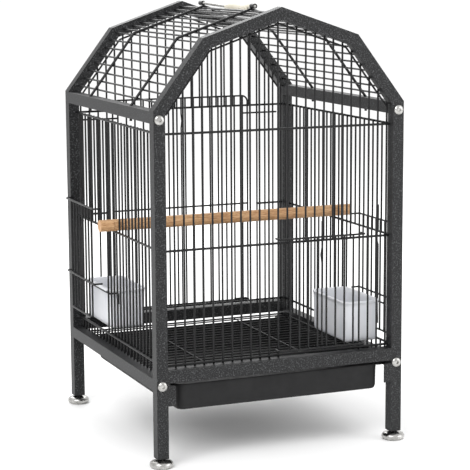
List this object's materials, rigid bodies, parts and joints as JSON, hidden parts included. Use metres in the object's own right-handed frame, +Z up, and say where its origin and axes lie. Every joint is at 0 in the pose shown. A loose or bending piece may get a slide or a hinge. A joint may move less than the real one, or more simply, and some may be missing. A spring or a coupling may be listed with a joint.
{
  "type": "bird cage",
  "caption": "Open-wire bird cage with a gambrel roof, square-tube frame on short legs with levelling feet, pull-out tray, feeding cups and a perch.",
  "frame": {"origin": "centre of the footprint at the level of the levelling feet's bases", "axes": "+Z up; -Y is the front, where the tray pulls out; +X is the right-hand side seen from the front"},
  "size_m": [0.364, 0.375, 0.5699],
  "materials": {
    "frame_coat": "satin",
    "wire": "satin",
    "black_plastic": "matte",
    "tray_plastic": "matte",
    "steel": "polished",
    "cup_plastic": "gloss",
    "grip_plastic": "gloss",
    "beech": "satin"
  },
  "bodies": {
    "frame": {"post_front_left": "frame_coat", "gable_front_low_left": "frame_coat", "gable_front_high_left": "frame_coat", "post_front_right": "frame_coat", "gable_front_low_right": "frame_coat", "gable_front_high_right": "frame_coat", "rail_front": "frame_coat", "post_rear_left": "frame_coat", "gable_rear_low_left": "frame_coat", "gable_rear_high_left": "frame_coat", "post_rear_right": "frame_coat", "gable_rear_low_right": "frame_coat", "gable_rear_high_right": "frame_coat", "rail_rear": "frame_coat", "base_rail_left": "frame_coat", "eave_rail_left": "frame_coat", "tray_guide_left": "frame_coat", "corner_tab_left": "frame_coat", "base_rail_right": "frame_coat", "eave_rail_right": "frame_coat", "tray_guide_right": "frame_coat", "corner_tab_right": "frame_coat", "wall_front": "wire", "wall_rear": "wire", "wall_left": "wire", "wall_right": "wire", "roof_low_left": "wire", "roof_low_right": "wire", "roof_high_left": "wire", "roof_high_right": "wire", "hoop_tips": "wire", "screws_front": "steel", "screws_rear": "steel", "leg_inserts": "black_plastic", "handle_clips": "wire", "rear_door_hinges": "wire"},
    "tray_body": {"tray": "tray_plastic"},
    "grate_body": {"grate_cross_wires": "wire", "grate_long_wires": "wire"},
    "rear_door_body": {"rear_door": "wire", "rear_door_latch": "wire"},
    "front_door_body": {"front_door": "wire", "front_door_latch": "wire"},
    "left_door_body": {"left_door": "wire", "left_door_latch": "wire"},
    "right_door_body": {"right_door": "wire", "right_door_latch": "wire"},
    "left_cup_body": {"cup_left": "cup_plastic", "cup_holder_left": "wire"},
    "right_cup_body": {"cup_right": "cup_plastic", "cup_holder_right": "wire"},
    "perch_body": {"perch": "beech"},
    "handle_body": {"handle_bail": "steel", "handle_grip": "grip_plastic"},
    "foot_front_left_body": {"foot_front_left": "steel"},
    "foot_front_right_body": {"foot_front_right": "steel"},
    "foot_rear_left_body": {"foot_rear_left": "steel"},
    "foot_rear_right_body": {"foot_rear_right": "steel"}
  },
  "joints": [
    {"name": "tray_pull", "type": "slide", "parent": "frame", "child": "tray_body", "axis": [0, -1, 0], "range_m": [0, 0.3]},
    {"name": "grate_pull", "type": "slide", "parent": "frame", "child": "grate_body", "axis": [0, -1, 0], "range_m": [0, 0.3]},
    {"name": "front_door_lift", "type": "slide", "parent": "frame", "child": "front_door_body", "axis": [0, 0, 1], "range_m": [-0.0025, 0.133]},
    {"name": "right_door_lift", "type": "slide", "parent": "frame", "child": "right_door_body", "axis": [0, 0, 1], "range_m": [-0.0065, 0.089]},
    {"name": "left_door_lift", "type": "slide", "parent": "frame", "child": "left_door_body", "axis": [0, 0, 1], "range_m": [-0.0225, 0.073]},
    {"name": "left_cup_lift", "type": "slide", "parent": "frame", "child": "left_cup_body", "axis": [0, 0, 1], "range_m": [0, 0.06]},
    {"name": "right_cup_lift", "type": "slide", "parent": "frame", "child": "right_cup_body", "axis": [0, 0, 1], "range_m": [0, 0.06]},
    {"name": "perch_lift", "type": "slide", "parent": "frame", "child": "perch_body", "axis": [0, 0, 1], "range_m": [0, 0.1]},
    {"name": "rear_door_drop", "type": "hinge", "parent": "frame", "child": "rear_door_body", "pos_m": [0, 0.17515, 0.1295], "axis": [-1, 0, 0], "range_deg": [0, 115]},
    {"name": "handle_swing", "type": "hinge", "parent": "frame", "child": "handle_body", "pos_m": [0, 0, 0.5667], "axis": [0, -1, 0], "range_deg": [0, 150]},
    {"name": "foot_front_left_thread", "type": "hinge", "parent": "frame", "child": "foot_front_left_body", "pos_m": [-0.1625, -0.1725, 0], "axis": [0, 0, 1], "continuous": true},
    {"name": "foot_front_right_thread", "type": "hinge", "parent": "frame", "child": "foot_front_right_body", "pos_m": [0.1625, -0.1725, 0], "axis": [0, 0, 1], "continuous": true},
    {"name": "foot_rear_left_thread", "type": "hinge", "parent": "frame", "child": "foot_rear_left_body", "pos_m": [-0.1625, 0.1725, 0], "axis": [0, 0, 1], "continuous": true},
    {"name": "foot_rear_right_thread", "type": "hinge", "parent": "frame", "child": "foot_rear_right_body", "pos_m": [0.1625, 0.1725, 0], "axis": [0, 0, 1], "continuous": true}
  ]
}
